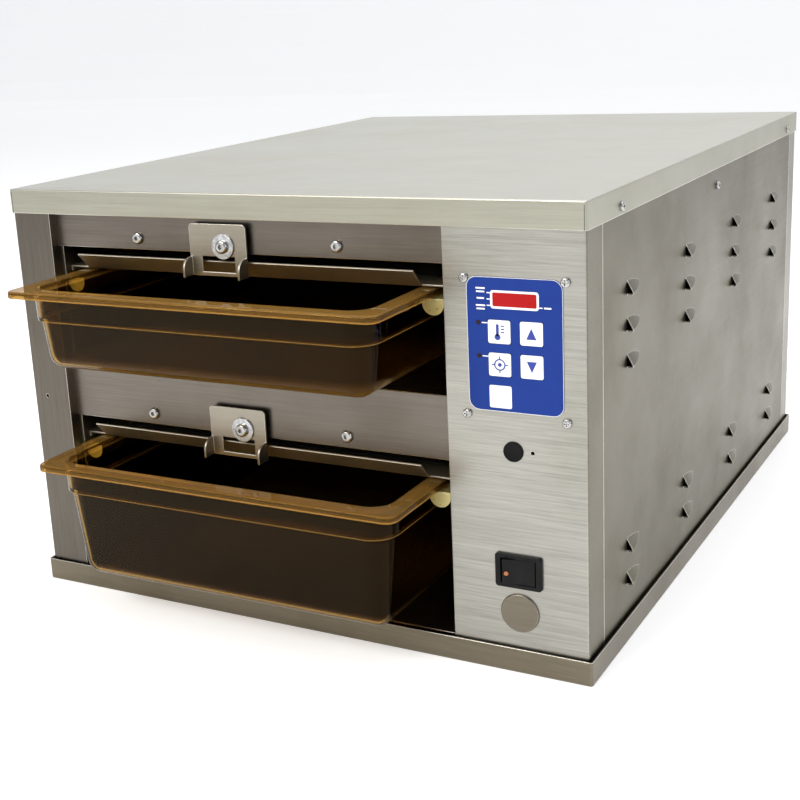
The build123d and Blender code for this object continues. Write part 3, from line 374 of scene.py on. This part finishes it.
def printed(name, surface_y, plates, rings, material, body):
    """One mesh of flat plates and rings, standing a hair proud of a front face."""
    mesh = bmesh.new()
    near, far = surface_y - PRINT_THICK, surface_y + PRINT_SINK
    for outline in plates:
        front = [mesh.verts.new((x, near, z)) for x, z in outline]
        rear = [mesh.verts.new((x, far, z)) for x, z in outline]
        mesh.faces.new(front)
        mesh.faces.new(rear[::-1])
        for k in range(len(outline)):
            after = (k + 1) % len(outline)
            mesh.faces.new((front[k], rear[k], rear[after], front[after]))
    for outer, inner in rings:
        loops = [[mesh.verts.new((x, y, z)) for x, z in outline]
                 for outline, y in ((outer, near), (inner, near), (inner, far), (outer, far))]
        for k in range(len(outer)):
            after = (k + 1) % len(outer)
            for first, second in zip(loops, loops[1:] + loops[:1]):
                mesh.faces.new((first[k], second[k], second[after], first[after]))
    bmesh.ops.recalc_face_normals(mesh, faces=mesh.faces)
    data = bpy.data.meshes.new(name)
    mesh.to_mesh(data)
    mesh.free()
    data.materials.append(material)
    piece = bpy.data.objects.new(name, data)
    bpy.context.scene.collection.objects.link(piece)
    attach(piece, body)


def middle(node):
    """A node's centre in x and z, and its width."""
    low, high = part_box(node)
    return (low.x + high.x) / 2, (low.z + high.z) / 2, high.x - low.x


film_low, film_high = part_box("keypad_overlay")
film_y = film_low.y
window_x, window_z, window_wide = middle("display_window")
window_wide -= 2 * MM            # its flange is hidden behind the panel
window_tall = 9.6 * MM
frame_wide, frame_tall = window_wide + 3.3 * MM, window_tall + 3.2 * MM
tick_long, tick_tall = 2.6 * MM, 0.8 * MM


def bar(x, z, width, height):
    """A printed stroke with softened ends."""
    return rounded(x, z, width, height, min(width, height) * 0.3, 3)


plates = []
left_edge = window_x - frame_wide / 2
right_edge = window_x + frame_wide / 2
word_x = left_edge - tick_long - 4.6 * MM
for rise in (4.4, 0.0, -4.4):
    plates.append(bar(left_edge - tick_long / 2, window_z + rise * MM, tick_long, tick_tall))
for rise, width in ((7.4, 7.0), (5.0, 6.2), (0.4, 5.6), (-4.6, 7.0), (-7.0, 6.2)):
    plates.append(bar(word_x, window_z + rise * MM, width * MM, 1.2 * MM))
plates.append(bar(right_edge + tick_long / 2, window_z - 4.2 * MM, tick_long, tick_tall))
plates.append(bar(right_edge + tick_long + 3.6 * MM, window_z - 4.2 * MM, 5.2 * MM, 1.2 * MM))

light_low, light_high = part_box("indicator_lights")
light_r = (light_high.x - light_low.x) / 2
light_x = (light_high.x + light_low.x) / 2
key_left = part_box("actual_key")[0].x
for light_z in (light_high.z - light_r, light_low.z + light_r):
    start = light_x + light_r + 1.0 * MM
    plates.append(bar((start + key_left) / 2 - 0.1 * MM, light_z, key_left - start, tick_tall))
badge_x, _, badge_wide = middle("actual_key")
badge_rise, badge_tall = 10.6 * MM, 16.2 * MM
plates.append(rounded(badge_x, film_low.z + badge_rise, badge_wide, badge_tall, 1.3 * MM))
window_ring = (rounded(window_x, window_z, frame_wide, frame_tall, 2.2 * MM),
               rounded(window_x, window_z, window_wide, window_tall, 1.0 * MM))
printed("overlay_print", film_y, plates, [window_ring], ink_white, "cabinet")

# The film's cut edge shows as a pale line.
film_x, film_z, film_wide = middle("keypad_overlay")
film_tall = film_high.z - film_low.z
film_corner, edge_line = 7.5 * MM, 0.7 * MM
printed("overlay_edge", film_y, [],
        [(rounded(film_x, film_z, film_wide, film_tall, film_corner),
          rounded(film_x, film_z, film_wide - edge_line, film_tall - edge_line,
                  film_corner - 0.3 * MM))],
        ink_white, "cabinet")

key_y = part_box("up_key")[0].y


def arrow(x, z, way):
    """A triangle that points up for way 1 and down for way -1."""
    half, rise = 3.7 * MM, 3.9 * MM
    return [(x - half, z - way * rise), (x + half, z - way * rise), (x, z + way * rise)]


for key_name, way in (("up_key", 1), ("down_key", -1)):
    x, z, _ = middle(key_name)
    printed(key_name + "_arrow", key_y, [arrow(x, z, way)], [], ink_blue, key_name)

# A thermometer stands for the actual temperature, and a target for the set one.
x, z, _ = middle("actual_key")
printed("actual_key_mark", key_y,
        [rounded(x - 1.2 * MM, z + 1.2 * MM, 2.0 * MM, 8.6 * MM, 0.95 * MM),
         disc(x - 1.2 * MM, z - 3.6 * MM, 2.2 * MM)]
        + [bar(x + 2.6 * MM, z + rise * MM, 2.6 * MM, 0.8 * MM) for rise in (4.2, 2.0, -0.2)],
        [], ink_blue, "actual_key")
x, z, _ = middle("setpoint_key")
printed("setpoint_key_mark", key_y,
        [disc(x, z, 1.4 * MM)]
        + [bar(x + side * 4.9 * MM, z, 2.2 * MM, 0.8 * MM) for side in (-1, 1)]
        + [bar(x, z + side * 4.9 * MM, 0.8 * MM, 2.2 * MM) for side in (-1, 1)],
        [(disc(x, z, 4.2 * MM), disc(x, z, 3.3 * MM))], ink_blue, "setpoint_key")

# The cover's flanges meet at its corners in an open seam.
cover_low, cover_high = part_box("top_cover")
seam_tall, seam_wide, seam_in = 17.0 * MM, 0.4 * MM, 2.2 * MM
for name, corner_x in (("cover_seam_right", cover_high.x - seam_in),
                       ("cover_seam_left", cover_low.x + seam_in)):
    printed(name, cover_low.y,
            [bar(corner_x, cover_low.z + seam_tall / 2, seam_wide, seam_tall)],
            [], seam_dark, "cabinet")

# ---------------------------------------------------------------- setting
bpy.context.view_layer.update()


def pale_floor():
    """A plain floor that curves up into a backdrop far behind the cabinet."""
    half, depth, bend, rise = 25.0, 7.0, 2.0, 6.0
    profile = [(-half, 0.0), (depth - bend, 0.0)]
    profile += [(depth - bend + bend * sin(radians(a)), bend - bend * cos(radians(a)))
                for a in range(10, 91, 10)]
    profile.append((depth, rise))
    mesh = bmesh.new()
    rows = [[mesh.verts.new((x, y, z)) for y, z in profile] for x in (-half, half)]
    for k in range(len(profile) - 1):
        mesh.faces.new((rows[0][k], rows[1][k], rows[1][k + 1], rows[0][k + 1]))
    bmesh.ops.recalc_face_normals(mesh, faces=mesh.faces)
    data = bpy.data.meshes.new("floor")
    mesh.to_mesh(data)
    mesh.free()
    paper = Shader("floor_paper", Roughness=0.9, Emission_Color=(1.0, 1.0, 1.0, 1.0),
                   Emission_Strength=0.3)
    mottle = paper.noise((3.0, 3.0, 3.0))
    paper.feed("Base Color", paper.mix(mottle, (0.90, 0.90, 0.895), (0.93, 0.93, 0.925)))
    data.materials.append(paper.material)
    floor = bpy.data.objects.new("floor", data)
    bpy.context.scene.collection.objects.link(floor)


pale_floor()

world = bpy.data.worlds.new("studio")
world.use_nodes = True
bpy.context.scene.world = world
world.node_tree.nodes["Background"].inputs["Color"].default_value = (0.93, 0.95, 1.0, 1.0)
world.node_tree.nodes["Background"].inputs["Strength"].default_value = 0.55


def softbox(name, place, aim, width, height, power, tint=(1.0, 1.0, 1.0)):
    light = bpy.data.lights.new(name, "AREA")
    light.shape = "RECTANGLE"
    light.size, light.size_y = width, height
    light.energy, light.color = power, tint
    lamp = bpy.data.objects.new(name, light)
    bpy.context.scene.collection.objects.link(lamp)
    lamp.location = place
    away = lamp.location - Vector(aim)
    lamp.rotation_euler = away.to_track_quat("Z", "Y").to_euler()


softbox("key", (-0.9, -2.2, 1.9), (0.0, 0.0, 0.15), 1.6, 1.2, 55.0, (1.0, 0.97, 0.92))
softbox("overhead", (0.1, 0.3, 2.4), (0.0, 0.1, 0.3), 2.2, 2.2, 40.0)
softbox("right", (2.6, -0.6, 1.2), (0.2, 0.0, 0.2), 1.4, 1.2, 16.0, (0.95, 0.97, 1.0))

camera_data = bpy.data.cameras.new("camera")
camera_data.sensor_width = 36.0
camera_data.lens = 60.94
camera_data.shift_x, camera_data.shift_y = 0.0792, -0.0273
camera_data.clip_start = 0.05
camera = bpy.data.objects.new("camera", camera_data)
bpy.context.scene.collection.objects.link(camera)
camera.location = (0.5448, -1.1444, 0.4709)
camera.rotation_euler = Euler((radians(74.783), radians(3.192), radians(29.754)))
bpy.context.scene.camera = camera
bpy.context.scene.view_settings.view_transform = "Standard"
